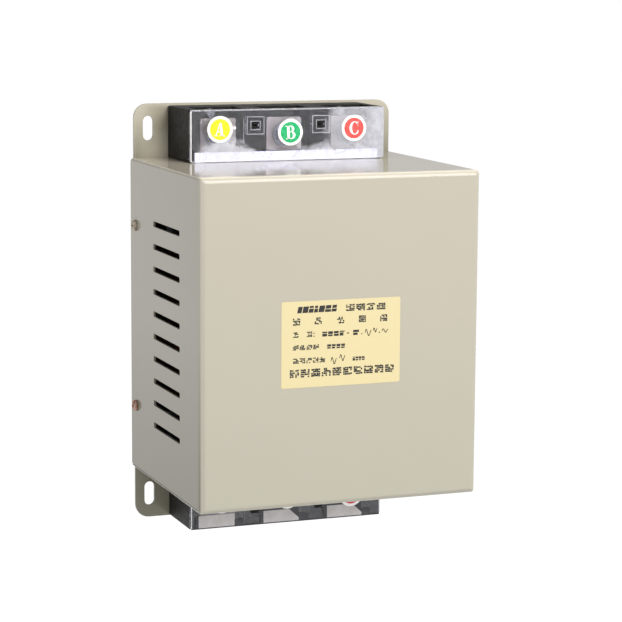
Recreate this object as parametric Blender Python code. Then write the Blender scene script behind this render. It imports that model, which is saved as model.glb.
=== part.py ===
"""Wall-mounted harmonic filter: a three-phase iron-core reactor in a folded sheet-steel case.

A flat back plate with four slotted ears carries everything: the core frame, the two black
terminal bases and, on four side screws, the folded front cover with its ventilation slots.
Metres, +Z up, +X to the right as seen from the front. The front faces -Y, and the origin is
the centre of the back plate's rear face, which lies against the wall.
"""
import bpy
import bmesh
from math import cos, pi, radians, sin
from mathutils import Vector

MM = 0.001

# Clearances
SEAT = 0.3 * MM            # between faces that rest on each other, and round shanks
SLIDE = 0.5 * MM           # between the cover's flaps and the back plate's flanges

# Folded front cover
BOX_W = 200 * MM
BOX_D = 160 * MM
BOX_H = 224 * MM
SHEET = 1.5 * MM
BEND_R = 4 * MM            # outer radius of the four front folds
CORNER_R = 1.7 * MM        # welded corners that run from front to back
FLAP_CORNER_R = 4 * MM     # rear corners of the side flaps
SEAM = 0.5 * MM            # open seam above each lower corner
SEAM_STOP = 7 * MM         # the seam ends this far behind the front face
VENT_COUNT = 10
VENT_PITCH = 15.75 * MM
VENT_L = 60 * MM
VENT_H = 4 * MM
VENT_R = 0.8 * MM
VENT_FROM_FRONT = 45 * MM
BUS_NOTCH_MARGIN = 6 * MM  # the rear notches in the flaps clear the bars by this much

# Back plate
PLATE_T = 2 * MM
EAR_H = 38.5 * MM          # the ears reach this far past the case
EAR_W = 25.2 * MM          # free width of an ear beside a terminal base
EAR_R = 10 * MM
FLANGE_D = 18 * MM
FLANGE_END = 7 * MM        # flange ends lie this far inside the cover's ends
PLATE_BEND_R = 3 * MM
RELIEF_W = 3 * MM
RELIEF_D = 6 * MM
SLOT_W = 7.5 * MM
SLOT_L = 17.5 * MM
SLOT_FROM_SIDE = 10.5 * MM
SLOT_FROM_END = 17.5 * MM

# Screws that hold the cover
COVER_SCREW_Y = 12.5 * MM
COVER_SCREW_Z = 65 * MM
SCREW_D = 4 * MM
SCREW_HEAD_D = 8 * MM
SCREW_HEAD_H = 2.4 * MM
COVER_SCREW_L = 6 * MM
RECESS_L = 4.4 * MM
RECESS_W = 0.9 * MM
RECESS_DEPTH = 1.5 * MM

# Terminal bases
BARRIER_W = 14.5 * MM
END_WALL = 6.5 * MM
BASE_DEPTH = 48.3 * MM
BASE_END_IN = 0.6 * MM         # the lower base ends this far inside the plate's end
BASE_EDGE_R = 0.8 * MM
BASE_LIFT_UPPER = 0.3 * MM     # gap to the cover's top flap
BASE_LIFT_LOWER = 1.3 * MM     # gap to the cover's bottom flap
FOOT_WALL = 6.5 * MM
CELL_R = 1.5 * MM
HEAD_ROOM = 7.5 * MM           # from the bars' front face to the base's front
CABLE_POCKET_D = 15 * MM       # the cable pocket's floor lies this far behind the bars
CABLE_POCKET_FROM_BOLT = 9.7 * MM
BOLT_UP = 17.5 * MM            # terminal bolt above the base's foot
BORE_DEPTH = 18 * MM
BARRIER_DROP = 2 * MM          # barrier tops lie below the end walls
BASE_SCREW_IN = 4.6 * MM       # base screws, from the base's outer end

# Clear terminal covers
CLEAR_T = 2.5 * MM
CLEAR_R = 2 * MM
CLEAR_EDGE_R = 0.5 * MM
LATCH_W = 13 * MM
LATCH_H = 12.6 * MM
LATCH_IN = 11.6 * MM           # latch centre, from the base's outer end
WINDOW_W = 6.3 * MM
WINDOW_H = 5.5 * MM
PEG_SPLIT = 1.4 * MM
PEG_SHY = 0.5 * MM             # the peg ends this far behind the cover's face
STRIP_H = 6.6 * MM
STRIP_T = 0.8 * MM
STRIP_INSET = 4.3 * MM         # from the base's end faces

# Terminal bars, bolts and washers
BAR_SIDE_CLEAR = 4.2 * MM      # from a bar's edge to the cell's wall
BAR_T = 3 * MM
BAR_TIP_UPPER = 6.8 * MM       # bar tips inside the base's outer end
BAR_TIP_LOWER = 0.8 * MM
BAR_CORNER = 1.5 * MM
BAR_INSIDE = 34 * MM           # how far the bars reach into the case
BOLT_D = 8 * MM
BOLT_FLATS = 13 * MM
BOLT_HEAD_H = 5.3 * MM
BOLT_L = 18 * MM
WASHER_D = 17 * MM
WASHER_T = 1.6 * MM
BAR_HOLE_D = 9 * MM
SPOT_FACE_D = 18.4 * MM        # shallow round seats of the washers in the bars
SPOT_FACE_DEPTH = 0.2 * MM

# Core and frame
FRAME_T = 3 * MM
FRAME_BEND_R = 5 * MM
FRAME_H = 28 * MM
FRAME_CLEAR = 4 * MM           # to the back plate's flanges
FOOT_L = 17 * MM
CLAMP_LIP = 18 * MM
CORE_END_CLEAR = 20.5 * MM     # above and below the core
YOKE_H = 30 * MM
CLAMP_CLEAR = 21.2 * MM        # from the front clamps to the cover's front wall
GAP_PLATE = 2 * MM
WELD_NUT_FLATS = 13 * MM
WELD_NUT_H = 6.5 * MM

# Coils
COIL_SIDE_CLEAR = 4 * MM
COIL_SPACE = 4 * MM
COIL_BUILD = 13 * MM           # from a leg's face to the winding's outer face
FORMER_T = 2 * MM
FORMER_LIP = 1 * MM            # flange beyond the winding
TURNS = 7
TURN_GROOVE = 0.8 * MM
WIRE_CORNER_R = 9 * MM
FORMER_CORNER_R = 2 * MM
LEAD_W = 12 * MM
LEAD_T = 3 * MM
LEAD_LAP = 16 * MM             # lead and bar side by side
LEAD_ROOT = 12 * MM            # lead along the winding
NOTCH_CLEAR = 1.5 * MM

BORE_STEPS = 10
RING_STEPS = 12
HIDDEN_STEPS = 8               # screws that no view shows
HIDDEN_BEND_STEPS = 2          # bends inside the case
ARC_STEPS = 4
QUARTER = 90                   # degrees
PHASES = ("a", "b", "c")
ENDS = (("upper", 1), ("lower", -1))
SIDES = (("left", -1), ("right", 1))

# Worked out from the sizes above
CASE_HALF_H = BOX_H / 2
PLATE_HALF = BOX_W / 2 - SHEET - SLIDE
PLATE_HALF_H = CASE_HALF_H + EAR_H
PLATE_FRONT = -PLATE_T
BASE_REAR = PLATE_FRONT - SEAT
BASE_FRONT = BASE_REAR - BASE_DEPTH
BASE_HALF = PLATE_HALF - EAR_W
BASE_H = EAR_H - BASE_LIFT_LOWER - BASE_END_IN
CELL_W = 2 * (BASE_HALF - BARRIER_W - END_WALL) / 3
CELL_PITCH = CELL_W + BARRIER_W
BAR_W = CELL_W - 2 * BAR_SIDE_CLEAR
CLEAR_REAR = BASE_FRONT - SEAT
CLEAR_FRONT = CLEAR_REAR - CLEAR_T
BAR_FRONT = BASE_FRONT + HEAD_ROOM
BAR_REAR = BAR_FRONT + BAR_T
BAR_SEAT = BAR_REAR + SEAT
WASHER_FACE = BAR_FRONT + SPOT_FACE_DEPTH
POCKET_FLOOR = BAR_SEAT + CABLE_POCKET_D
BARRIER_TOP = BASE_FRONT + BARRIER_DROP
LATCH_UP = BASE_H - LATCH_IN
BASE_FOOT = {"upper": CASE_HALF_H + BASE_LIFT_UPPER, "lower": CASE_HALF_H + BASE_LIFT_LOWER}
BAR_TIP = {"upper": BAR_TIP_UPPER, "lower": BAR_TIP_LOWER}
BAR_INNER = CASE_HALF_H - BAR_INSIDE
FRAME_HALF = PLATE_HALF - PLATE_T - FRAME_CLEAR
COIL_HALF_SPAN = FRAME_HALF - COIL_SIDE_CLEAR
COIL_PITCH = (2 * COIL_HALF_SPAN + COIL_SPACE) / 3
COIL_W = COIL_PITCH - COIL_SPACE
LEG_W = COIL_W - 2 * COIL_BUILD
LEAD_REAR = BAR_FRONT - SEAT
COIL_REAR = LEAD_REAR - LEAD_T + SEAT
LEAD_FRONT = COIL_REAR - 2 * TURN_GROOVE
CORE_REAR = COIL_REAR - COIL_BUILD
CLAMP_FACE = -BOX_D + SHEET + CLAMP_CLEAR + CLAMP_LIP
CORE_FRONT = CLAMP_FACE + FRAME_T + SEAT
CORE_Y = (CORE_FRONT + CORE_REAR) / 2
STACK = CORE_REAR - CORE_FRONT
COIL_D = STACK + 2 * COIL_BUILD
CORE_HALF_W = COIL_PITCH + LEG_W / 2
CORE_HALF_H = CASE_HALF_H - SHEET - CORE_END_CLEAR
WINDOW_HALF = CORE_HALF_H - YOKE_H
CLAMP_BOLT_X = (CORE_HALF_W + FRAME_HALF) / 2
FRAME_MID_Z = CORE_HALF_H - FRAME_H / 2
WEB_REAR = CORE_REAR + SEAT + FRAME_T
FORMER_END = WINDOW_HALF - SEAT
FLANGE_INNER = FORMER_END - FORMER_T
WINDING_HALF = FLANGE_INNER - SEAT


# Shapes
def arc(cx, cy, radius, start, end, steps=ARC_STEPS):
    """Points along an arc, both ends included. Angles are in degrees."""
    points = []
    for step in range(steps + 1):
        angle = radians(start + (end - start) * step / steps)
        points.append((cx + radius * cos(angle), cy + radius * sin(angle)))
    return points


def rounded_rectangle(cx, cy, width, height, radius, steps=ARC_STEPS):
    """A rectangle's outline with round corners, counter-clockwise."""
    inner_x = width / 2 - radius
    inner_y = height / 2 - radius
    points = []
    for quarter, (sx, sy) in enumerate(((1, 1), (-1, 1), (-1, -1), (1, -1))):
        start = QUARTER * quarter
        points += arc(cx + sx * inner_x, cy + sy * inner_y, radius, start, start + QUARTER, steps)
    return points


def span(first, second):
    """Centre and width between two coordinates."""
    return (first + second) / 2, abs(second - first)


def folded_outline(path, thickness, radius, steps=ARC_STEPS):
    """The section of a bent sheet. The path is its outer face, and the metal lies to its left."""
    outer = []
    inner = []
    for index, point in enumerate(path):
        here = Vector(point)
        if index == 0 or index == len(path) - 1:
            other = Vector(path[1]) - here if index == 0 else here - Vector(path[-2])
            along = other.normalized()
            left = Vector((-along.y, along.x))
            outer.append(tuple(here))
            inner.append(tuple(here + left * thickness))
            continue
        before = (here - Vector(path[index - 1])).normalized()
        after = (Vector(path[index + 1]) - here).normalized()
        turn = before.x * after.y - before.y * after.x
        side = 1 if turn > 0 else -1
        outer_r = radius if side > 0 else radius - thickness
        inner_r = outer_r - side * thickness
        left = Vector((-before.y, before.x))
        centre = here - before * outer_r + left * side * outer_r
        for step in range(steps + 1):
            angle = side * pi / 2 * step / steps
            ray = -left * side
            turned = Vector((ray.x * cos(angle) - ray.y * sin(angle),
                             ray.x * sin(angle) + ray.y * cos(angle)))
            outer.append(tuple(centre + turned * outer_r))
            inner.append(tuple(centre + turned * inner_r))
    return outer + inner[::-1]


def prism(bm, outline, axis, low, high):
    """Extrude a flat outline along X, Y or Z, from low to high."""
    if axis == "X":
        corners = [(low, u, v) for u, v in outline]
        way = Vector((high - low, 0, 0))
    elif axis == "Y":
        corners = [(u, low, v) for u, v in outline]
        way = Vector((0, high - low, 0))
    else:
        corners = [(u, v, low) for u, v in outline]
        way = Vector((0, 0, high - low))
    face = bm.faces.new([bm.verts.new(corner) for corner in corners])
    raised = bmesh.ops.extrude_face_region(bm, geom=[face])
    moved = [part for part in raised["geom"] if isinstance(part, bmesh.types.BMVert)]
    bmesh.ops.translate(bm, verts=moved, vec=way)


def block(bm, x0, x1, y0, y1, z0, z1):
    """A plain block between two corners."""
    prism(bm, [(x0, y0), (x1, y0), (x1, y1), (x0, y1)], "Z", min(z0, z1), max(z0, z1))


def loft(bm, loops, closed):
    """Skin a row of loops that have the same number of points."""
    rings = [[bm.verts.new(point) for point in loop] for loop in loops]
    pairs = list(zip(rings, rings[1:]))
    if closed:
        pairs.append((rings[-1], rings[0]))
    for first, second in pairs:
        for index in range(len(first)):
            after = (index + 1) % len(first)
            bm.faces.new((first[index], first[after], second[after], second[index]))
    if not closed:
        bm.faces.new(rings[0][::-1])
        bm.faces.new(rings[-1])


def ring_points(radius, height, flats=False, steps=RING_STEPS):
    """A round or six-sided ring about the local Z axis. A hexagon's radius is to its flats."""
    points = []
    for step in range(steps):
        angle = 2 * pi * step / steps
        reach = radius
        if flats:
            reach = radius / cos((angle + pi / 6) % (pi / 3) - pi / 6)
        points.append((reach * cos(angle), reach * sin(angle), height))
    return points


# Materials and objects
def finish(name, colour, roughness, metallic=0.0):
    """A Principled material."""
    look = bpy.data.materials.new(name)
    look.use_nodes = True
    shader = look.node_tree.nodes["Principled BSDF"]
    shader.inputs["Base Color"].default_value = (*colour, 1)
    shader.inputs["Roughness"].default_value = roughness
    shader.inputs["Metallic"].default_value = metallic
    look.diffuse_color = (*colour, 1)
    return look


def mesh_of(name, bm, look, smooth=False):
    """Close a bmesh into a mesh with its faces pointing out."""
    bmesh.ops.recalc_face_normals(bm, faces=bm.faces)
    mesh = bpy.data.meshes.new(name)
    bm.to_mesh(mesh)
    bm.free()
    mesh.materials.append(look)
    if smooth:
        mesh.shade_smooth()
        mesh.set_sharp_from_angle(angle=radians(35))
    return mesh


def place(name, mesh, location=(0, 0, 0), rotation=(0, 0, 0)):
    """Put a mesh in the scene as one named object."""
    obj = bpy.data.objects.new(name, mesh)
    bpy.context.collection.objects.link(obj)
    obj.location = location
    obj.rotation_euler = rotation
    obj.parent = bpy.data.objects["harmonic_filter"]
    return obj


def boolean(obj, bm, operation):
    """Cut or add the shapes in a bmesh."""
    bmesh.ops.recalc_face_normals(bm, faces=bm.faces)
    mesh = bpy.data.meshes.new("tool_" + obj.name)
    bm.to_mesh(mesh)
    bm.free()
    tool = bpy.data.objects.new("tool_" + operation.lower() + "_" + obj.name, mesh)
    bpy.context.collection.objects.link(tool)
    tool.hide_render = True
    tool.display_type = "WIRE"
    change = obj.modifiers.new(operation.title(), "BOOLEAN")
    change.operation = operation
    change.solver = "EXACT"
    change.object = tool


def cylinder(bm, axis, centre, radius, low, high, steps=BORE_STEPS):
    """A round prism for cutting bores."""
    prism(bm, arc(*centre, radius, 0, 360 * (steps - 1) / steps, steps - 1), axis, low, high)


# Folded front cover
def front_cover(look):
    """One sheet folded to five sides, open at the back."""
    bm = bmesh.new()
    bmesh.ops.create_cube(bm, size=1)
    bmesh.ops.scale(bm, vec=(BOX_W, BOX_D, BOX_H), verts=bm.verts)
    bmesh.ops.translate(bm, vec=(0, -BOX_D / 2, 0), verts=bm.verts)
    rear = [face for face in bm.faces if face.normal.y > 0.5]
    bmesh.ops.delete(bm, geom=rear, context="FACES_ONLY")
    weight = bm.edges.layers.float.new("bevel_weight_edge")
    for edge in bm.edges:
        at_front = [vert.co.y < -BOX_D / 2 for vert in edge.verts]
        if all(at_front):
            edge[weight] = 1
        elif any(at_front):
            edge[weight] = CORNER_R / BEND_R
    mesh = mesh_of("front_cover", bm, look)
    cover = place("front_cover", mesh)
    bend = cover.modifiers.new("Folds", "BEVEL")
    bend.limit_method = "WEIGHT"
    bend.width = BEND_R
    bend.segments = 4
    wall = cover.modifiers.new("Sheet", "SOLIDIFY")
    wall.thickness = SHEET
    wall.offset = -1
    wall.use_even_offset = True
    for cuts in (vents_and_holes(), flap_notches(), flap_corners(), seams()):
        boolean(cover, cuts, "DIFFERENCE")
    return cover


def vents_and_holes():
    """Slots and screw holes of the side flaps."""
    bm = bmesh.new()
    vent_y = -BOX_D + VENT_FROM_FRONT + VENT_L / 2
    first = -(VENT_COUNT - 1) * VENT_PITCH / 2
    for _, side in SIDES:
        low = side * BOX_W / 2 - 2 * SHEET
        high = side * BOX_W / 2 + 2 * SHEET
        for index in range(VENT_COUNT):
            outline = rounded_rectangle(vent_y, first + index * VENT_PITCH, VENT_L, VENT_H, VENT_R, 1)
            prism(bm, outline, "X", low, high)
        for _, end in ENDS:
            hole = (-COVER_SCREW_Y, end * COVER_SCREW_Z)
            cylinder(bm, "X", hole, SCREW_D / 2 + SEAT, low, high)
    return bm


def flap_notches():
    """The rear edges of the top and bottom flaps, with a notch for the terminal bars."""
    bm = bmesh.new()
    notch_half = CELL_PITCH + BAR_W / 2 + BUS_NOTCH_MARGIN
    notch_y = BAR_FRONT - BUS_NOTCH_MARGIN
    flap_rear = PLATE_FRONT - SEAT
    rear_half = PLATE_HALF + SEAT
    outline = [(-notch_half, flap_rear), (-rear_half, flap_rear), (-rear_half, SHEET)]
    outline += [(rear_half, SHEET), (rear_half, flap_rear), (notch_half, flap_rear)]
    outline += arc(notch_half - CELL_R, notch_y + CELL_R, CELL_R, 0, -90)
    outline += arc(-notch_half + CELL_R, notch_y + CELL_R, CELL_R, -90, -180)
    for _, end in ENDS:
        middle = end * CASE_HALF_H
        prism(bm, outline, "Z", middle - 2 * SHEET, middle + 2 * SHEET)
    return bm


def flap_corners():
    """What lies outside the round rear corners of the side flaps."""
    bm = bmesh.new()
    beyond = 2 * SHEET
    for _, side in SIDES:
        low, high = sorted((side * (BOX_W / 2 - SHEET), side * (BOX_W / 2 + SHEET)))
        for _, end in ENDS:
            corner_z = end * (CASE_HALF_H - FLAP_CORNER_R)
            outer_z = end * (CASE_HALF_H + beyond)
            curve = arc(-FLAP_CORNER_R, corner_z, FLAP_CORNER_R, 0, 90 * end)
            outline = curve + [(-FLAP_CORNER_R, outer_z), (beyond, outer_z), (beyond, corner_z)]
            prism(bm, outline, "X", low, high)
    return bm


def seams():
    """The open seams between the side flaps and the bottom flap."""
    bm = bmesh.new()
    seam_z = -CASE_HALF_H + SHEET
    for _, side in SIDES:
        low, high = sorted((side * (BOX_W / 2 - SHEET - SLIDE), side * (BOX_W / 2 + SHEET)))
        block(bm, low, high, -BOX_D + SEAM_STOP, SHEET, seam_z, seam_z + SEAM)
    return bm


# Back plate
def back_plate(look):
    """A flat plate with slotted ears and two folded side flanges."""
    flange_half = CASE_HALF_H - FLANGE_END
    neck_half_z = flange_half + RELIEF_W
    neck_x = PLATE_HALF - RELIEF_D
    ear_x = PLATE_HALF - EAR_R
    ear_z = PLATE_HALF_H - EAR_R
    outline = []
    for sx, sz, start in ((1, 1, 0), (-1, 1, 90), (-1, -1, 180), (1, -1, 270)):
        corner = arc(sx * ear_x, sz * ear_z, EAR_R, start, start + 90, 6)
        neck = [(sx * neck_x, sz * neck_half_z), (sx * PLATE_HALF, sz * neck_half_z)]
        outline += neck + corner if sx * sz > 0 else corner + neck[::-1]
    bm = bmesh.new()
    prism(bm, outline, "Y", PLATE_FRONT, 0)
    plate = place("back_plate", mesh_of("back_plate", bm, look, smooth=True))
    bm = bmesh.new()
    path = [(-PLATE_HALF, -FLANGE_D), (-PLATE_HALF, 0), (PLATE_HALF, 0), (PLATE_HALF, -FLANGE_D)]
    section = folded_outline(path[::-1], PLATE_T, PLATE_BEND_R)
    prism(bm, section, "Z", -flange_half, flange_half)
    boolean(plate, bm, "UNION")
    slot_x = PLATE_HALF - SLOT_FROM_SIDE
    slot_z = PLATE_HALF_H - SLOT_FROM_END
    bm = bmesh.new()
    for _, side in SIDES:
        for _, end in ENDS:
            slot = rounded_rectangle(side * slot_x, end * slot_z, SLOT_W, SLOT_L, SLOT_W / 2)
            prism(bm, slot, "Y", -2 * PLATE_T, PLATE_T)
            hole = (-COVER_SCREW_Y, end * COVER_SCREW_Z)
            reach = sorted((side * (PLATE_HALF - 2 * PLATE_T), side * (PLATE_HALF + PLATE_T)))
            cylinder(bm, "X", hole, SCREW_D / 2 + SEAT, *reach)
    for x, z in frame_screw_places() + base_screw_places():
        cylinder(bm, "Y", (x, z), SCREW_D / 2 + SEAT, -2 * PLATE_T, PLATE_T)
    boolean(plate, bm, "DIFFERENCE")
    return plate


def frame_screw_places():
    """The four screws that hold the core frame to the back plate."""
    x = FRAME_HALF - FOOT_L / 2
    return [(side * x, end * FRAME_MID_Z) for _, side in SIDES for _, end in ENDS]


def base_screw_places():
    """The four screws that hold the terminal bases, in the outer cells' cable pockets."""
    places = []
    for name, end in ENDS:
        z = end * (BASE_FOOT[name] + BASE_H - BASE_SCREW_IN)
        places += [(side * CELL_PITCH, z) for _, side in SIDES]
    return places


# Terminal bases and their covers
def terminal_base(name, end, look):
    """A black moulding with three cells, open at the front and at the outer end."""
    foot = BASE_FOOT[name]
    outer = foot + BASE_H
    bm = bmesh.new()
    block(bm, -BASE_HALF, BASE_HALF, BASE_FRONT, BASE_REAR, end * foot, end * outer)
    base = place("terminal_base_" + name, mesh_of("terminal_base_" + name, bm, look))
    soften = base.modifiers.new("Edges", "BEVEL")
    soften.width = BASE_EDGE_R
    soften.segments = 2
    cuts = [cells(foot, outer, end), cable_pockets(foot, outer, end), bar_slots(foot, end)]
    cuts += [base_bores(foot, end), barrier_tops(foot, outer, end), strip_rebate(foot, end)]
    for cut in cuts:
        boolean(base, cut, "DIFFERENCE")
    boolean(base, latch_pegs(foot, end), "UNION")
    return base


def cells(foot, outer, end):
    """The three cells, from the base's front down to the bars' seats."""
    bm = bmesh.new()
    middle, height = span(foot + FOOT_WALL, outer + CELL_R)
    for cell in (-1, 0, 1):
        pocket = rounded_rectangle(cell * CELL_PITCH, end * middle, CELL_W, height, CELL_R, 2)
        prism(bm, pocket, "Y", BASE_FRONT - BASE_EDGE_R, BAR_SEAT)
    return bm


def cable_pockets(foot, outer, end):
    """Deeper room for the cable lugs at the outer end of each cell."""
    bm = bmesh.new()
    middle, height = span(foot + BOLT_UP + CABLE_POCKET_FROM_BOLT, outer + CELL_R)
    for cell in (-1, 0, 1):
        x = cell * CELL_PITCH
        pocket = rounded_rectangle(x, end * middle, CELL_W - 2 * SEAT, height, CELL_R, 2)
        prism(bm, pocket, "Y", BAR_SEAT - BAR_T, POCKET_FLOOR)
    return bm


def bar_slots(foot, end):
    """Slots through the foot wall for the terminal bars."""
    bm = bmesh.new()
    half = BAR_W / 2 + SEAT
    low, high = sorted((end * (foot - SHEET), end * (foot + FOOT_WALL + CELL_R)))
    for cell in (-1, 0, 1):
        x = cell * CELL_PITCH
        block(bm, x - half, x + half, BAR_FRONT - SEAT, BAR_SEAT, low, high)
    return bm


def base_bores(foot, end):
    """Bores for the terminal bolts and for the two screws that hold the base."""
    bm = bmesh.new()
    for cell in (-1, 0, 1):
        bore = (cell * CELL_PITCH, end * (foot + BOLT_UP))
        cylinder(bm, "Y", bore, BOLT_D / 2 + SEAT, BAR_FRONT, BAR_SEAT + BORE_DEPTH)
    for x, z in base_screw_places():
        if z * end > 0:
            cylinder(bm, "Y", (x, z), SCREW_D / 2 + SEAT, POCKET_FLOOR - BAR_T, 0)
    return bm


def barrier_tops(foot, outer, end):
    """What is taken off the barriers to make room for the clear cover's latches."""
    bm = bmesh.new()
    half = BARRIER_W / 2 + CELL_R
    low, high = sorted((end * (foot + FOOT_WALL), end * (outer + CELL_R)))
    for side in (-1, 1):
        x = side * CELL_PITCH / 2
        block(bm, x - half, x + half, BASE_FRONT - BASE_EDGE_R, BARRIER_TOP, low, high)
    return bm


def strip_rebate(foot, end):
    """A rebate along the foot for the marking strip."""
    bm = bmesh.new()
    half = BASE_HALF - STRIP_INSET + SEAT
    low, high = sorted((end * (foot - SHEET), end * (foot + STRIP_H + SEAT)))
    floor = CLEAR_REAR + STRIP_T + 2 * SEAT
    block(bm, -half, half, BASE_FRONT - BASE_EDGE_R, floor, low, high)
    return bm


def latch_pegs(foot, end):
    """A split peg on each barrier, which the clear cover snaps over."""
    bm = bmesh.new()
    tongue_h = (WINDOW_H - 2 * SEAT - PEG_SPLIT) / 2
    for side in (-1, 1):
        for half in (-1, 1):
            x = side * CELL_PITCH / 2
            z = end * (foot + LATCH_UP) + half * (PEG_SPLIT + tongue_h) / 2
            tongue = rounded_rectangle(x, z, WINDOW_W - 2 * SEAT, tongue_h, tongue_h / 4, 2)
            prism(bm, tongue, "Y", CLEAR_FRONT + PEG_SHY, BARRIER_TOP + BARRIER_DROP)
    return bm


def clear_cover(name, end, look):
    """A clear plate with two square latch bosses, each open to a split peg of the base."""
    foot = BASE_FOOT[name]
    middle, height = span(foot, foot + BASE_H)
    bm = bmesh.new()
    outline = rounded_rectangle(0, end * middle, 2 * BASE_HALF, height, CLEAR_R, 3)
    prism(bm, outline, "Y", CLEAR_FRONT, CLEAR_REAR)
    cover = place("clear_cover_" + name, mesh_of("clear_cover_" + name, bm, look, smooth=True))
    soften = cover.modifiers.new("Edges", "BEVEL")
    soften.width = CLEAR_EDGE_R
    soften.segments = 2
    latch_z = end * (foot + LATCH_UP)
    bm = bmesh.new()
    for side in (-1, 1):
        boss = rounded_rectangle(side * CELL_PITCH / 2, latch_z, LATCH_W, LATCH_H, CLEAR_EDGE_R, 2)
        prism(bm, boss, "Y", CLEAR_REAR - CLEAR_T / 2, BARRIER_TOP - SEAT)
    boolean(cover, bm, "UNION")
    bm = bmesh.new()
    for side in (-1, 1):
        x = side * CELL_PITCH / 2
        window = rounded_rectangle(x, latch_z, WINDOW_W, WINDOW_H, CLEAR_EDGE_R, 2)
        prism(bm, window, "Y", CLEAR_FRONT - CLEAR_T, BASE_REAR)
    boolean(cover, bm, "DIFFERENCE")
    return cover


def marking_strip(name, end, look):
    """A white strip along the foot of a clear cover."""
    foot = BASE_FOOT[name]
    half = BASE_HALF - STRIP_INSET
    bm = bmesh.new()
    rear = CLEAR_REAR + SEAT + STRIP_T
    block(bm, -half, half, CLEAR_REAR + SEAT, rear, end * foot, end * (foot + STRIP_H))
    return place("marking_strip_" + name, mesh_of("marking_strip_" + name, bm, look))


# Terminal hardware
def terminal_bar(name, phase, end, x, look):
    """A tinned copper bar from the coil's lead to the terminal bolt."""
    foot = BASE_FOOT[name]
    tip = foot + BASE_H - BAR_TIP[name]
    middle, height = span(BAR_INNER, tip)
    bm = bmesh.new()
    outline = rounded_rectangle(x, end * middle, BAR_W, height, BAR_CORNER, 2)
    prism(bm, outline, "Y", BAR_FRONT, BAR_REAR)
    title = "terminal_bar_" + name + "_" + phase
    bar = place(title, mesh_of(title, bm, look))
    bm = bmesh.new()
    hole = (x, end * (foot + BOLT_UP))
    cylinder(bm, "Y", hole, BAR_HOLE_D / 2, BAR_FRONT - BAR_T, BAR_REAR + BAR_T)
    boolean(bar, bm, "DIFFERENCE")
    bm = bmesh.new()
    cylinder(bm, "Y", hole, SPOT_FACE_D / 2, BAR_FRONT - BAR_T, WASHER_FACE, RING_STEPS)
    boolean(bar, bm, "DIFFERENCE")
    return bar


def hex_bolt_mesh(name, flats, head_h, diameter, length, look):
    """A hexagon bolt that stands on the local XY plane, with its head up."""
    half = flats / 2
    chamfer = head_h / 6
    bm = bmesh.new()
    rings = [ring_points(diameter / 2, -length), ring_points(diameter / 2, 0)]
    rings.append(ring_points(half, 0, True))
    rings += [ring_points(half, head_h - chamfer, True), ring_points(half - chamfer / 2, head_h)]
    loft(bm, rings, closed=False)
    return mesh_of(name, bm, look, smooth=True)


def washer_mesh(name, outer_d, inner_d, thickness, look):
    """A flat washer on the local XY plane."""
    bm = bmesh.new()
    rings = [ring_points(inner_d / 2, 0), ring_points(outer_d / 2, 0)]
    rings += [ring_points(outer_d / 2, thickness), ring_points(inner_d / 2, thickness)]
    loft(bm, rings, closed=True)
    return mesh_of(name, bm, look, smooth=True)


def pan_screw_mesh(name, length, look, steps=RING_STEPS):
    """A pan-head screw that stands on the local XY plane, with its head up."""
    head_r = SCREW_HEAD_D / 2
    profile = [(SCREW_D / 2, -length), (SCREW_D / 2, 0), (head_r, 0)]
    profile += [(head_r, SCREW_HEAD_H * 0.4), (head_r * 0.7, SCREW_HEAD_H)]
    bm = bmesh.new()
    rings = [ring_points(radius, height, steps=steps) for radius, height in profile]
    loft(bm, rings, closed=False)
    return mesh_of(name, bm, look, smooth=True)


def cross_recess(screw):
    """The cross slot in a screw's head."""
    for along, across in ((RECESS_L, RECESS_W), (RECESS_W, RECESS_L)):
        bm = bmesh.new()
        low = SCREW_HEAD_H - RECESS_DEPTH
        block(bm, -along / 2, along / 2, -across / 2, across / 2, low, SCREW_HEAD_H + RECESS_DEPTH)
        boolean(screw, bm, "DIFFERENCE")
        tool = screw.modifiers[-1].object
        tool.location = screw.location
        tool.rotation_euler = screw.rotation_euler


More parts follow.
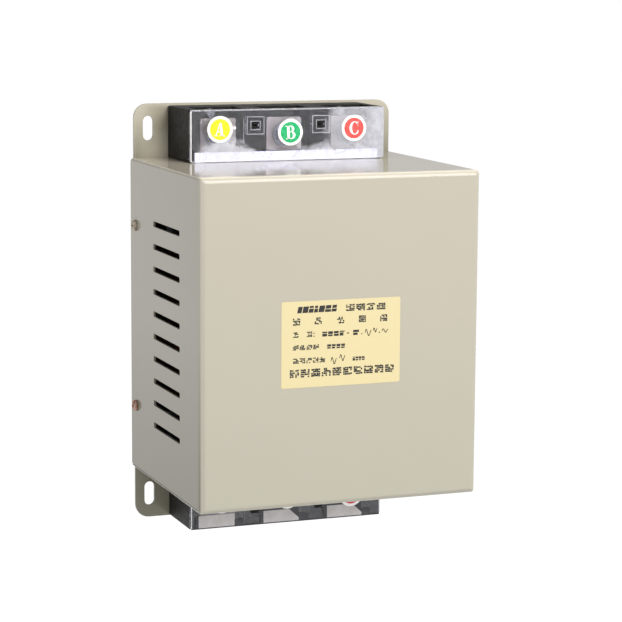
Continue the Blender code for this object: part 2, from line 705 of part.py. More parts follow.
def fasteners(steel, copper):
    """All screws, bolts and washers, as copies of a few meshes."""
    to_front = (pi / 2, 0, 0)
    screw = pan_screw_mesh("cover_screw", COVER_SCREW_L, steel)
    worn_screw = pan_screw_mesh("worn_cover_screw", COVER_SCREW_L, copper)
    for side_name, side in SIDES:
        for end_name, end in ENDS:
            worn = side_name == "left" and end_name == "lower"
            spot = (side * (BOX_W / 2 + SEAT), -COVER_SCREW_Y, end * COVER_SCREW_Z)
            title = "cover_screw_" + end_name + "_" + side_name
            cross_recess(place(title, worn_screw if worn else screw, spot, (0, side * pi / 2, 0)))
    bolt = hex_bolt_mesh("terminal_bolt", BOLT_FLATS, BOLT_HEAD_H, BOLT_D, BOLT_L, steel)
    washer = washer_mesh("terminal_washer", WASHER_D, BOLT_D + 2 * SEAT, WASHER_T, steel)
    for end_name, end in ENDS:
        z = end * (BASE_FOOT[end_name] + BOLT_UP)
        for cell, phase in zip((-1, 0, 1), PHASES):
            x = cell * CELL_PITCH
            under = WASHER_FACE - SEAT
            place("terminal_washer_" + end_name + "_" + phase, washer, (x, under, z), to_front)
            above = under - WASHER_T - SEAT
            place("terminal_bolt_" + end_name + "_" + phase, bolt, (x, above, z), to_front)
    base_reach = abs(POCKET_FLOOR - SEAT) - SEAT
    base_screw = pan_screw_mesh("base_screw", base_reach, steel, HIDDEN_STEPS)
    for x, z in base_screw_places():
        title = "base_screw_" + ("upper" if z > 0 else "lower") + "_" + ("right" if x > 0 else "left")
        place(title, base_screw, (x, POCKET_FLOOR - SEAT, z), to_front)
    foot_face = PLATE_FRONT - SEAT - FRAME_T - SEAT
    frame_screw = pan_screw_mesh("frame_screw", abs(foot_face) - SEAT, steel, HIDDEN_STEPS)
    for x, z in frame_screw_places():
        title = "frame_screw_" + ("upper" if z > 0 else "lower") + "_" + ("right" if x > 0 else "left")
        place(title, frame_screw, (x, foot_face, z), to_front)
    clamp_head = CLAMP_FACE - SEAT
    reach = WEB_REAR + WELD_NUT_H + SEAT - clamp_head
    clamp_bolt = hex_bolt_mesh("clamp_bolt", BOLT_FLATS, BOLT_HEAD_H, BOLT_D, reach, steel)
    for side_name, side in SIDES:
        for end_name, end in ENDS:
            spot = (side * CLAMP_BOLT_X, clamp_head, end * FRAME_MID_Z)
            place("clamp_bolt_" + end_name + "_" + side_name, clamp_bolt, spot, to_front)


# Core and its frame
def core_stack(look):
    """The E-shaped stack of laminations: lower yoke and three legs."""
    leg_top = WINDOW_HALF - GAP_PLATE - 2 * SEAT
    outline = [(-CORE_HALF_W, -CORE_HALF_H), (CORE_HALF_W, -CORE_HALF_H)]
    for leg in (1, 0, -1):
        right = leg * COIL_PITCH + LEG_W / 2
        left = leg * COIL_PITCH - LEG_W / 2
        if leg != 1:
            outline.append((right, -WINDOW_HALF))
        outline += [(right, leg_top), (left, leg_top)]
        if leg != -1:
            outline.append((left, -WINDOW_HALF))
    bm = bmesh.new()
    prism(bm, outline, "Y", CORE_FRONT, CORE_REAR)
    return place("core_e_stack", mesh_of("core_e_stack", bm, look))


def core_yoke(look):
    """The upper yoke of laminations."""
    bm = bmesh.new()
    block(bm, -CORE_HALF_W, CORE_HALF_W, CORE_FRONT, CORE_REAR, WINDOW_HALF, CORE_HALF_H)
    return place("core_upper_yoke", mesh_of("core_upper_yoke", bm, look))


def gap_plate(phase, x, look):
    """The insulating plate that sets a leg's air gap."""
    top = WINDOW_HALF - SEAT
    bm = bmesh.new()
    block(bm, x - LEG_W / 2, x + LEG_W / 2, CORE_FRONT, CORE_REAR, top - GAP_PLATE, top)
    return place("air_gap_plate_" + phase, mesh_of("air_gap_plate_" + phase, bm, look))


def rear_frame(name, end, look):
    """A folded strap behind a yoke, with two legs and feet on the back plate."""
    rear = PLATE_FRONT - SEAT
    front = WEB_REAR - FRAME_T
    path = [(-FRAME_HALF + FOOT_L, rear), (-FRAME_HALF, rear), (-FRAME_HALF, front)]
    path += [(FRAME_HALF, front), (FRAME_HALF, rear), (FRAME_HALF - FOOT_L, rear)]
    low, high = sorted((end * (CORE_HALF_H - FRAME_H), end * CORE_HALF_H))
    bm = bmesh.new()
    section = folded_outline(path, FRAME_T, FRAME_BEND_R, HIDDEN_BEND_STEPS)
    prism(bm, section, "Z", low, high)
    title = "core_frame_rear_" + name
    frame = place(title, mesh_of(title, bm, look, smooth=True))
    bm = bmesh.new()
    for _, side in SIDES:
        centre = (side * CLAMP_BOLT_X, end * FRAME_MID_Z)
        corners = [(WELD_NUT_FLATS / 2 / cos(pi / 6) * cos(pi / 3 * k) + centre[0],
                    WELD_NUT_FLATS / 2 / cos(pi / 6) * sin(pi / 3 * k) + centre[1]) for k in range(6)]
        prism(bm, corners, "Y", WEB_REAR - FRAME_T / 2, WEB_REAR + WELD_NUT_H)
    boolean(frame, bm, "UNION")
    bm = bmesh.new()
    for _, side in SIDES:
        centre = (side * CLAMP_BOLT_X, end * FRAME_MID_Z)
        cylinder(bm, "Y", centre, BOLT_D / 2 + SEAT, front - FRAME_T, WEB_REAR + 2 * WELD_NUT_H)
    for x, z in frame_screw_places():
        if z * end > 0:
            cylinder(bm, "Y", (x, z), SCREW_D / 2 + SEAT, rear - 2 * FRAME_T, rear + FRAME_T)
    boolean(frame, bm, "DIFFERENCE")
    return frame


def front_clamp(name, end, look):
    """A folded angle that clamps a yoke from the front."""
    face = CORE_FRONT - SEAT
    inner = CORE_HALF_H - FRAME_H
    path = [(face, inner), (face, CORE_HALF_H), (face - FRAME_T - CLAMP_LIP, CORE_HALF_H)]
    bent = folded_outline(path, FRAME_T, FRAME_BEND_R, HIDDEN_BEND_STEPS)
    section = [(y, end * z) for y, z in bent]
    bm = bmesh.new()
    prism(bm, section, "X", -FRAME_HALF, FRAME_HALF)
    title = "core_clamp_front_" + name
    clamp = place(title, mesh_of(title, bm, look, smooth=True))
    bm = bmesh.new()
    for _, side in SIDES:
        centre = (side * CLAMP_BOLT_X, end * FRAME_MID_Z)
        cylinder(bm, "Y", centre, BOLT_D / 2 + SEAT, face - 2 * FRAME_T, face + FRAME_T)
    boolean(clamp, bm, "DIFFERENCE")
    return clamp


# Coils
def coil_loop(x, width, depth, radius, z):
    """A rounded rectangle round a leg, as 3-D points."""
    return [(u, v, z) for u, v in rounded_rectangle(x, CORE_Y, width, depth, radius, 2)]


def coil_former(phase, x, lead_x, look):
    """The insulating tube with two flanges that a winding sits on."""
    inner = (LEG_W + 2 * SEAT, STACK + 2 * SEAT)
    tube = (inner[0] + 2 * FORMER_T, inner[1] + 2 * FORMER_T)
    lip = (COIL_W + 2 * FORMER_LIP, COIL_D + 2 * FORMER_LIP)
    small = FORMER_CORNER_R / 4
    loops = []
    for end in (-1, 1):
        parts = [coil_loop(x, *inner, small, end * FORMER_END), coil_loop(x, *lip, WIRE_CORNER_R, end * FORMER_END)]
        parts.append(coil_loop(x, *lip, WIRE_CORNER_R, end * FLANGE_INNER))
        parts.append(coil_loop(x, *tube, FORMER_CORNER_R, end * FLANGE_INNER))
        loops += parts if end < 0 else parts[::-1]
    bm = bmesh.new()
    loft(bm, loops, closed=True)
    former = place("coil_former_" + phase, mesh_of("coil_former_" + phase, bm, look, smooth=True))
    bm = bmesh.new()
    half = LEAD_W / 2 + NOTCH_CLEAR
    for end in (-1, 1):
        low, high = sorted((end * (FORMER_END + FORMER_T), end * (FLANGE_INNER - FORMER_T)))
        front = LEAD_FRONT - NOTCH_CLEAR
        block(bm, lead_x - half, lead_x + half, front, COIL_REAR + 2 * FORMER_LIP, low, high)
    boolean(former, bm, "DIFFERENCE")
    return former


def winding(phase, x, lead_x, look):
    """A copper winding with a flat lead at each end, which laps its terminal bar."""
    clear = 2 * (SEAT + FORMER_T + SEAT)
    inner = (LEG_W + clear, STACK + clear)
    groove = (COIL_W - 2 * TURN_GROOVE, COIL_D - 2 * TURN_GROOVE)
    turn_h = 2 * WINDING_HALF / TURNS
    inner_r = FORMER_CORNER_R + SEAT
    loops = [coil_loop(x, *inner, inner_r, -WINDING_HALF)]
    loops.append(coil_loop(x, *groove, WIRE_CORNER_R - TURN_GROOVE, -WINDING_HALF))
    for turn in range(TURNS):
        foot = -WINDING_HALF + turn * turn_h
        loops.append(coil_loop(x, COIL_W, COIL_D, WIRE_CORNER_R, foot + turn_h / 2))
        loops.append(coil_loop(x, *groove, WIRE_CORNER_R - TURN_GROOVE, foot + turn_h))
    loops.append(coil_loop(x, *inner, inner_r, WINDING_HALF))
    bm = bmesh.new()
    loft(bm, loops, closed=True)
    coil = place("winding_" + phase, mesh_of("winding_" + phase, bm, look, smooth=True))
    bm = bmesh.new()
    for end in (-1, 1):
        tip = BAR_INNER + LEAD_LAP
        low, high = sorted((end * (WINDING_HALF - LEAD_ROOT), end * tip))
        half = LEAD_W / 2
        block(bm, lead_x - half, lead_x + half, LEAD_FRONT, LEAD_REAR, low, high)
    boolean(coil, bm, "UNION")
    return coil


def build():
    """Make every piece."""
    for old in list(bpy.data.objects):
        bpy.data.objects.remove(old, do_unlink=True)
    carrier = bpy.data.objects.new("harmonic_filter", None)
    bpy.context.collection.objects.link(carrier)

    paint = finish("beige_paint", (0.62, 0.58, 0.47), 0.35)
    plate_paint = finish("plate_paint", (0.47, 0.43, 0.33), 0.45)
    phenolic = finish("black_phenolic", (0.018, 0.017, 0.016), 0.35)
    clear = finish("clear_plastic", (0.85, 0.88, 0.92), 0.08)
    white = finish("white_plastic", (0.85, 0.85, 0.88), 0.4)
    tinned = finish("tinned_copper", (0.66, 0.60, 0.56), 0.3, 1)
    steel = finish("zinc_plated_steel", (0.62, 0.62, 0.60), 0.3, 1)
    rusty = finish("rusty_steel", (0.30, 0.16, 0.09), 0.6, 1)
    iron = finish("core_steel", (0.10, 0.10, 0.11), 0.5, 1)
    galvanised = finish("galvanised_steel", (0.50, 0.51, 0.52), 0.45, 1)
    board = finish("insulating_board", (0.55, 0.42, 0.24), 0.7)
    moulding = finish("former_moulding", (0.12, 0.11, 0.10), 0.5)
    copper = finish("varnished_copper", (0.45, 0.16, 0.07), 0.35, 1)

    front_cover(paint)
    back_plate(plate_paint)
    for name, end in ENDS:
        terminal_base(name, end, phenolic)
        clear_cover(name, end, clear)
        marking_strip(name, end, white)
        rear_frame(name, end, galvanised)
        front_clamp(name, end, galvanised)
        for cell, phase in zip((-1, 0, 1), PHASES):
            terminal_bar(name, phase, end, cell * CELL_PITCH, tinned)
    core_stack(iron)
    core_yoke(iron)
    for leg, phase in zip((-1, 0, 1), PHASES):
        x = leg * COIL_PITCH
        lead_x = leg * (COIL_PITCH + CELL_PITCH) / 2
        gap_plate(phase, x, board)
        coil_former(phase, x, lead_x, moulding)
        winding(phase, x, lead_x, copper)
    fasteners(steel, rusty)


build()
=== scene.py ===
"""The looks of the harmonic filter: paint, mouldings, metals, label, phase discs, light and camera.

Lengths are in metres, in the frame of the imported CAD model. X is to the right as seen from the
front, Y goes into the wall and Z is up. Lengths written in millimetres are multiplied by MM.
"""

import math
import random

import bmesh
import bpy
from mathutils import Matrix, Vector


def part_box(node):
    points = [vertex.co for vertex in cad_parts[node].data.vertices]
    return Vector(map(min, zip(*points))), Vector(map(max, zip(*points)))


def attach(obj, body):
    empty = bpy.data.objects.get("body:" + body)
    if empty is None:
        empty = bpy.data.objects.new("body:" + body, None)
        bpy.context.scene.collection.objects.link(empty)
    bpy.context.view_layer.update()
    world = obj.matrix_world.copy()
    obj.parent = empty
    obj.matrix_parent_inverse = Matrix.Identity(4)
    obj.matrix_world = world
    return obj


MM = 0.001
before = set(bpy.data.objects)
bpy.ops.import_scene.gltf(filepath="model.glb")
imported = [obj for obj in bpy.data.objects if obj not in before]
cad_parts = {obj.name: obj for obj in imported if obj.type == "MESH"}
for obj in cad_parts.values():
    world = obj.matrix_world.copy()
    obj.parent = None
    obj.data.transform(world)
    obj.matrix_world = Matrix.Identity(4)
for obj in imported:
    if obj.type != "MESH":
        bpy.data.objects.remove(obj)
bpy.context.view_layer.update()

# Faces that the pieces of this script lie on
FRONT_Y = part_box("front_cover")[0].y
LID_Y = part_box("clear_cover_upper")[0].y

# Corners closer than the gap are joined, and edges past the angle in degrees stay sharp
WELD_GAP = 0.002 * MM
NODE_ANGLE, PIECE_ANGLE = 28, 35
FACE_WEIGHT = 100

# The middle part of a noise's values
NOISE_SPAN = (0.3, 0.7)

# Painted light and shade in the paint: each pair is where one starts and where it is full, along X,
# Y or Z
FRONT_Y_SPAN = (-155 * MM, -158.5 * MM)
TOP_FOLD_Z_SPAN = (109.2 * MM, 111.4 * MM)
LEFT_FOLD_X_SPAN = (-97.6 * MM, -99.4 * MM)
TOP_FACE_Z_SPAN = (111.3 * MM, 111.8 * MM)
TOP_END_X_SPAN = (-62 * MM, -80 * MM)
TOP_BAND_Y_SPAN = (-150.5 * MM, -153 * MM)
SIDE_FACE_X_SPAN = (-99 * MM, -99.8 * MM)
SIDE_FOOT_Z_SPAN = (10 * MM, -110 * MM)
EAR_RIGHT, EAR_FRONT, EAR_FOOT = -72.6 * MM, -1 * MM, 111 * MM
EAR_PALE_X_SPAN, EAR_PALE_Z_SPAN = (-95 * MM, -77 * MM), (134 * MM, 117 * MM)
EAR_DARK_X_SPAN, EAR_DARK_Z_SPAN = (-93 * MM, -77 * MM), (129 * MM, 139 * MM)
EAR_TOP_Z_SPAN = (150 * MM, 147 * MM)
EAR_DARKEST = 0.6
# Heights over which the cover's and the plate's paint go from painted shade to their lit colour
COVER_SHADE_Z_SPAN = (-0.1, 0.1)
PLATE_SHADE_Z_SPAN = (0.110, 0.152)

# Pale patches on the upper clear cover that paint the room's reflections, along X and Z, and how far
# noise moves their limits
HAZE_STIR = 6 * MM
HAZE_RIGHT_SPAN, HAZE_RIGHT = (27 * MM, 35 * MM), 0.62
HAZE_END_SPAN, HAZE_END = (56 * MM, 66 * MM), 0.38
HAZE_LEFT_SPAN, HAZE_LEFT_RISE = (-22 * MM, -34 * MM), 7 * MM
HAZE_MIDDLE_SPAN, HAZE_MIDDLE_RISE = (12 * MM, 24 * MM), 4 * MM
HAZE_FOOT_SPAN = (122 * MM, 116 * MM)
HAZE_START_SPAN = (-70 * MM, -60 * MM)
UPPER_HALF_SPAN = (0, 10 * MM)
HAZE_LOW, HAZE_HIGH = 0.31, 0.41

# Bands: the wave texture's phase grows by this rate times its scale, and repeats at 2 pi
WAVE_RATE = 20
CORE_BAND = 0.5 * MM
COIL_BAND = 4 * MM

# Rating label, its pen lines and its dots
LABEL_LEFT, LABEL_RIGHT = -43.7 * MM, 41.8 * MM
LABEL_FOOT, LABEL_TOP = -30.1 * MM, 28.3 * MM
LABEL_CORNER = 1.3 * MM
LABEL_T = 0.15 * MM
LABEL_BEVEL = 0.05 * MM
LABEL_SEED = 5
PEN_W = 0.48 * MM
PEN_STEPS = 40
DOT_R = 0.45 * MM
# Marks: the shares of a pitch that a mark fills and leaves, the share of blocks left out, the
# rows of blocks, and the slit of those with two bars, which have no more blocks across than this
MARK_FILL, MARK_SPACE = 0.84, 0.16
MARK_GAPS = 0.24
MARK_ROWS = 4
MARK_SLIT = 0.4 * MM
MOST_BARRED = 3
# Runs of marks in place of print: left, right, foot and top in mm, marks, and blocks across one
LABEL_RUNS = (
    (2.2, 30.7, 20.1, 24.8, 4, 5),
    (-35.6, -30.4, 12.2, 17.0, 1, 5),
    (-20.2, -14.9, 12.2, 17.0, 1, 5),
    (-4.0, 1.1, 12.1, 16.9, 1, 5),
    (11.6, 16.7, 12.1, 16.8, 1, 5),
    (27.0, 32.2, 12.0, 16.8, 1, 5),
    (-35.3, -31.5, 4.0, 7.7, 1, 4),
    (-25.7, -21.9, 4.0, 7.7, 1, 4),
    (-14.6, 1.4, 3.8, 7.1, 4, 3),
    (7.6, 11.8, 3.7, 7.2, 1, 3),
    (-35.5, -16.9, -4.6, -1.2, 4, 4),
    (-11.0, 1.8, -4.6, -1.7, 4, 3),
    (-35.4, -12.5, -13.6, -10.0, 5, 4),
    (7.4, 16.0, -13.7, -11.1, 4, 2),
    (-37.6, 37.4, -23.1, -17.6, 10, 5),
)
# The heading's left, right, foot and top in mm, its slope, its blocks' widths in mm, the share
# of them with a slit, the slit, the space between two, and the least run that takes one more
LABEL_HEADING = (-32.6, -4.7, 20.4, 24.9)
HEADING_LEAN = 0.22
HEADING_WIDTHS = (2.4, 4.6)
HEADING_SPLIT = 0.5
HEADING_SLIT = 0.45 * MM
HEADING_SPACE = 0.55 * MM
HEADING_REST = 3.0 * MM
LABEL_DOTS = ((-20.5, 4.4), (-20.5, 6.4), (3.4, 5.3), (4.2, 5.3), (13.9, 4.4), (26.6, 4.6))
# Scribbles in place of handwriting: waves in each, the share of its height that a wave swings
# and loses on the way, then left, foot, width and height in mm
SCRIBBLE_WAVES = 1.2
SWING, SWING_LOSS = 0.4, 0.14
SCRIBBLES = ((16.2, 1.6, 4.4, 6.2), (22.2, 4.2, 2.6, 4.1), (28.6, 3.7, 4.2, 3.6),
             (-8.2, -16.4, 3.9, 6.6), (-2.0, -14.5, 3.8, 6.2))

# Phase discs: each place is x and z in mm, and the letter's turn in degrees
DISC_R = 9.3 * MM
DISC_COLOUR_R = 7.4 * MM
DISC_T = 0.35 * MM
DISC_BEVEL = 0.12 * MM
DISC_LIFT = 0.01 * MM
INK_T = 0.05 * MM
LETTER_H = 9.4 * MM
DISC_PLACES = {
    ("upper", "a"): (-50.8, 135.0, -4),
    ("upper", "b"): (1.5, 132.0, 3),
    ("upper", "c"): (49.6, 134.0, 2),
    ("lower", "a"): (-49.0, -130.0, 2),
    ("lower", "b"): (0.8, -130.5, -3),
    ("lower", "c"): (50.0, -132.55, 3),
}

# Latches of the upper clear cover and their windows, whose edges look frosted
LATCH_X = 24.5 * MM
LATCH_Z = 137.3 * MM
LATCH_W, LATCH_H = 13.0 * MM, 12.6 * MM
WINDOW_W, WINDOW_H = 6.3 * MM, 5.5 * MM
RIM_W, RIM_T = 0.55 * MM, 0.12 * MM
# Painted light and shade on the lower clear cover: pale patches for the bars' feet where they catch
# light, and dark patches beside them that paint the black moulding in shade; left, right and height,
# from a cell's middle and foot
CELL_X = (-49.03 * MM, 0.0, 49.03 * MM)
LIT_CELL_FEET = (-17.6 * MM, 9.4 * MM, 8.9 * MM)
CELL_SHADES = ((-20.0 * MM, -17.6 * MM, 8.2 * MM), (9.4 * MM, 16.4 * MM, 4.7 * MM))
# Slanted shadows on two cells' feet, as outlines of x and z in mm
CELL_SHADOWS = (((-17.6, 8.8), (9.4, 8.8), (9.4, 15.5), (-17.6, 15.5)),
                ((2.0, 8.8), (9.4, 1.9), (9.4, 8.8)))
# Lines along the covers' edges, a rib and a snap peg's glint: the pale lines and the glint are
# painted highlights
EDGE_IN = 0.5 * MM
EDGE_W = 0.8 * MM
FOOT_IN = 0.2 * MM
TOP_LINE = (1.1 * MM, 0.2 * MM)
CORNER_W = 0.65 * MM
RIB_X, RIB_FOOT, RIB_TOP = -33.5 * MM, 124.5 * MM, 142.7 * MM
RIB_W = 0.35 * MM
PEG, PEG_R, PEG_BEVEL = (-40.1 * MM, 135.8 * MM), 1.1 * MM, 0.05 * MM

# Camera, from the photograph
FOCAL = 2303.12
PHOTO = 622
CAMERA_AZ = -0.36432
CAMERA_EL = 0.15421
CAMERA_ROLL = 0.00663
CAMERA_AT = (0.03577, -0.0032, 1.69116)
SENSOR = 36
CLIP = (0.05, 200)

# Floor and light
FLOOR_Z = -0.46
FLOOR_R = 60
FLOOR_TONE = 0.12
STRIP_GLOW = 0.62
FLOOR_GLOW = 0.96
ROOM_COLOUR = (1.0, 0.99, 0.98, 1)
ROOM_LOW, ROOM_HIGH = 0.65, 0.25
# Lights: name, place, aim, size and power
LIGHT_COLOUR = (1, 0.985, 0.96)
LIGHTS = (
    ("key", (0.72, -2.25, 1.85), (0, -0.1, 0), (1.5, 2.8), 150),
    ("fill_left", (-1.5, -0.5, 1.6), (0, -0.1, 0.05), (0.8, 0.8), 5),
)


def linear(red, green, blue):
    """A colour of 0 to 255 as linear RGBA."""
    def one(value):
        value /= 255
        return value / 12.92 if value <= 0.04045 else ((value + 0.055) / 1.055) ** 2.4
    return (one(red), one(green), one(blue), 1)


class Finish:
    """A node material with one shader, and short calls for its nodes."""

    def __init__(self, name, colour, roughness=0.5, metallic=0.0, **sockets):
        self.material = bpy.data.materials.new(name)
        self.material.use_nodes = True
        self.nodes = self.material.node_tree.nodes
        self.links = self.material.node_tree.links
        self.shader = self.nodes["Principled BSDF"]
        self.set("Base Color", colour)
        self.set("Roughness", roughness)
        self.set("Metallic", metallic)
        for socket, value in sockets.items():
            self.set(socket.replace("_", " "), value)
        self.place = self.nodes.new("ShaderNodeTexCoord").outputs["Object"]

    def set(self, socket, value):
        """One value for the shader's socket."""
        self.shader.inputs[socket].default_value = value

    def put(self, socket, output):
        """Links a node's output to the shader's socket."""
        self.links.new(output, self.shader.inputs[socket])

    def feed(self, socket, value):
        """Links value to a node's socket if it is an output, and sets it there otherwise."""
        if isinstance(value, bpy.types.NodeSocket):
            self.links.new(value, socket)
        else:
            socket.default_value = value

    def node(self, kind, inputs=(), **values):
        """A new node, with its settings and the values or links of its inputs."""
        made = self.nodes.new(kind)
        for name, value in values.items():
            setattr(made, name, value)
        for name, value in dict(inputs).items():
            self.feed(made.inputs[name], value)
        return made

    def noise(self, size, detail=3, rough=0.55, stretch=(1, 1, 1)):
        """Noise from 0 to 1 whose features are size metres across."""
        place = self.place
        if stretch != (1, 1, 1):
            place = self.node("ShaderNodeMapping", {"Vector": place, "Scale": stretch}).outputs[0]
        inputs = {"Vector": place, "Scale": 1 / size, "Detail": detail, "Roughness": rough}
        return self.node("ShaderNodeTexNoise", inputs).outputs[0]

    def uneven(self, size, detail, low, high, rough=0.55, stretch=(1, 1, 1)):
        """A value from low to high that varies with noise."""
        noise = self.noise(size, detail, rough, stretch)
        return self.spread(noise, *NOISE_SPAN, low, high)

    def bands(self, axis, size, distortion):
        """Soft bands from 0 to 1 across an axis, 2 pi times size apart."""
        inputs = {"Vector": self.place, "Scale": 1 / size / WAVE_RATE, "Distortion": distortion}
        return self.node("ShaderNodeTexWave", inputs, bands_direction=axis).outputs[1]

    def spread(self, value, low, high, to_low=0.0, to_high=1.0):
        """value, from low to high, spread over to_low to to_high."""
        inputs = {"Value": value, "From Min": low, "From Max": high, "To Min": to_low,
                  "To Max": to_high}
        return self.node("ShaderNodeMapRange", inputs).outputs[0]

    def maths(self, operation, a, b=0.0):
        """The result of an operation on two values."""
        made = self.node("ShaderNodeMath", operation=operation)
        for k, value in enumerate((a, b)):
            self.feed(made.inputs[k], value)
        return made.outputs[0]

    def times(self, a, b):
        return self.maths("MULTIPLY", a, b)

    def mix(self, factor, a, b):
        """Colour a where factor is 0, and b where it is 1."""
        made = self.node("ShaderNodeMix", data_type="RGBA")
        for k, value in ((0, factor), (6, a), (7, b)):
            self.feed(made.inputs[k], value)
        return made.outputs[2]

    def axis(self, name):
        """The X, Y or Z place, in metres."""
        return self.node("ShaderNodeSeparateXYZ", {"Vector": self.place}).outputs[name]

    def bumps(self, *layers):
        """Each layer is a height of 0 to 1 and its depth in metres."""
        normal = None
        for height, depth in layers:
            inputs = {"Height": height, "Distance": depth, "Strength": 1.0}
            if normal:
                inputs["Normal"] = normal
            normal = self.node("ShaderNodeBump", inputs).outputs[0]
        self.put("Normal", normal)
        return normal


def cover_painted_light(made, colour):
    """Painted light in the paint: highlights on the front folds and the top's front band, light on
    the top's left end, and shade that darkens the left side towards its foot.
    """
    x, y, z = (made.axis(name) for name in "XYZ")
    # Painted highlight along the front folds
    near_front = made.spread(y, *FRONT_Y_SPAN)
    fold = made.maths("MAXIMUM", made.spread(z, *TOP_FOLD_Z_SPAN),
                      made.spread(x, *LEFT_FOLD_X_SPAN))
    colour = made.mix(made.times(fold, near_front), colour, FOLD_HIGHLIGHT)
    # Painted light on the top's left end, and a painted highlight along its front band
    on_top = made.spread(z, *TOP_FACE_Z_SPAN)
    top_end = made.times(on_top, made.spread(x, *TOP_END_X_SPAN))
    colour = made.mix(top_end, colour, TOP_END_FILL_LIGHT)
    top_band = made.times(on_top, made.spread(y, *TOP_BAND_Y_SPAN))
    colour = made.mix(top_band, colour, TOP_BAND_HIGHLIGHT)
    # Painted shade, darker down the left side towards its foot
    side = made.times(made.spread(x, *SIDE_FACE_X_SPAN), made.spread(z, *SIDE_FOOT_Z_SPAN))
    return made.mix(side, colour, SIDE_FOOT_SHADE)


def ear_painted_light(made, colour):
    """Painted light and shade on the plate's front beside the upper base: painted light at its foot
    and painted shade at its top.
    """
    x, y, z = (made.axis(name) for name in "XYZ")
    beside = made.times(made.maths("LESS_THAN", x, EAR_RIGHT),
                        made.maths("LESS_THAN", y, EAR_FRONT))
    # Painted light at the foot beside the base
    pale = made.times(made.spread(x, *EAR_PALE_X_SPAN), made.spread(z, *EAR_PALE_Z_SPAN))
    upper = made.maths("GREATER_THAN", z, EAR_FOOT)
    pale = made.times(pale, made.times(beside, upper))
    colour = made.mix(pale, colour, EAR_FOOT_LIGHT)
    # Painted shade at the top beside the base
    dark = made.times(made.spread(x, *EAR_DARK_X_SPAN, 0, EAR_DARKEST),
                      made.spread(z, *EAR_DARK_Z_SPAN))
    dark = made.times(dark, made.spread(z, *EAR_TOP_Z_SPAN))
    return made.mix(made.times(dark, beside), colour, EAR_TOP_SHADE)


def painted_steel(name, upper, lower, shade_z_span, shades):
    """Glossy beige paint with fine orange peel, faint clouds and specks, painted shade that makes it
    darker below its span, and the painted light and shade that shades adds.
    """
    made = Finish(name, upper, 0.5, Specular_IOR_Level=0.0, Coat_Weight=1.0, Coat_IOR=1.36,
                  Coat_Roughness=0.11)
    clouds = made.noise(60 * MM, 4)
    # Painted shade: the colour goes from the lower one to the upper one up the span, stirred by the
    # clouds
    high = made.spread(made.axis("Z"), *shade_z_span)
    tone = made.maths("ADD", high, made.spread(clouds, 0.35, 0.65, -0.12, 0.12))
    colour = made.mix(tone, lower, upper)
    specks = made.spread(made.noise(2.2 * MM, 2), 0.70, 0.78, 0, 0.25)
    colour = made.mix(specks, colour, SPECK)
    made.put("Base Color", shades(made, colour))
    normal = made.bumps((made.noise(2.6 * MM, 2), 0.004 * MM), (made.noise(30 * MM, 2), 0.03 * MM))
    made.put("Coat Normal", normal)
    return made.material


def black_moulding():
    """Pressed black phenolic: a dull sheen with fine pale specks."""
    made = Finish("black_phenolic_look", linear(26, 25, 24), 0.5, Specular_IOR_Level=0.15)
    specks = made.spread(made.noise(0.5 * MM, 3), 0.66, 0.74)
    made.put("Base Color", made.mix(specks, linear(24, 23, 22), linear(50, 47, 44)))
    made.put("Roughness", made.uneven(3 * MM, 4, 0.42, 0.6))
    made.bumps((made.noise(1.1 * MM, 3), 0.01 * MM))
    return made.material


def clear_plastic():
    """Clear plastic, a little warped, with pale patches at its right end and its foot that paint
    reflections, and a faint milkiness all over.
    """
    made = Finish("clear_plastic_look", linear(236, 237, 246), 0.08, IOR=1.5,
                  Transmission_Weight=1.0)
    across, height = made.axis("X"), made.axis("Z")
    # Painted reflections: pale patches where less light goes through the cover
    stir = made.uneven(14 * MM, 4, -HAZE_STIR, HAZE_STIR, 0.6)
    stirred = made.maths("ADD", across, stir)
    right = made.spread(stirred, *HAZE_RIGHT_SPAN, 0.0, HAZE_RIGHT)
    right = made.maths("ADD", right, made.spread(stirred, *HAZE_END_SPAN, 0.0, HAZE_END))
    left = made.spread(stirred, *HAZE_LEFT_SPAN, 0.0, HAZE_LEFT_RISE)
    middle = made.spread(stirred, *HAZE_MIDDLE_SPAN, 0.0, HAZE_MIDDLE_RISE)
    level = made.maths("SUBTRACT", made.maths("ADD", height, stir), made.maths("ADD", left, middle))
    foot = made.spread(level, *HAZE_FOOT_SPAN)
    foot = made.times(foot, made.spread(across, *HAZE_START_SPAN))
    upper = made.spread(height, *UPPER_HALF_SPAN)
    painted_reflection = made.times(made.maths("MAXIMUM", right, foot), upper)
    painted_reflection = made.times(painted_reflection, made.uneven(5 * MM, 4, HAZE_LOW, HAZE_HIGH))
    painted_reflection = made.maths("ADD", painted_reflection, made.spread(made.noise(3 * MM, 5, 0.6), 0.4, 0.7, 0.0, 0.04))
    made.put("Transmission Weight", made.maths("SUBTRACT", 1.0, painted_reflection))
    made.put("Roughness", made.spread(made.noise(6 * MM, 4), 0.35, 0.75, 0.05, 0.12))
    made.bumps((made.noise(24 * MM, 2), 0.03 * MM), (made.noise(1.5 * MM, 3), 0.002 * MM))
    return made.material


def frosted_plastic(name, colour, alpha, grain=0.2, size=1.5 * MM):
    """A see-through film, pale or dark, whose opacity varies by grain, in spots of a size: the dull
    edges at the latches, and painted light and shade on the clear covers.
    """
    made = Finish(name, colour, 0.5, Alpha=alpha)
    made.put("Alpha", made.uneven(size, 3, alpha - grain, alpha + grain))
    return made.material


def white_strip():
    """White plastic, brightened a little to make up for the light that its cover holds back."""
    made = Finish("white_strip_look", linear(244, 243, 250), 0.3)
    made.put("Roughness", made.uneven(4 * MM, 3, 0.22, 0.4))
    made.set("Emission Color", linear(236, 236, 255))
    made.set("Emission Strength", STRIP_GLOW)
    return made.material


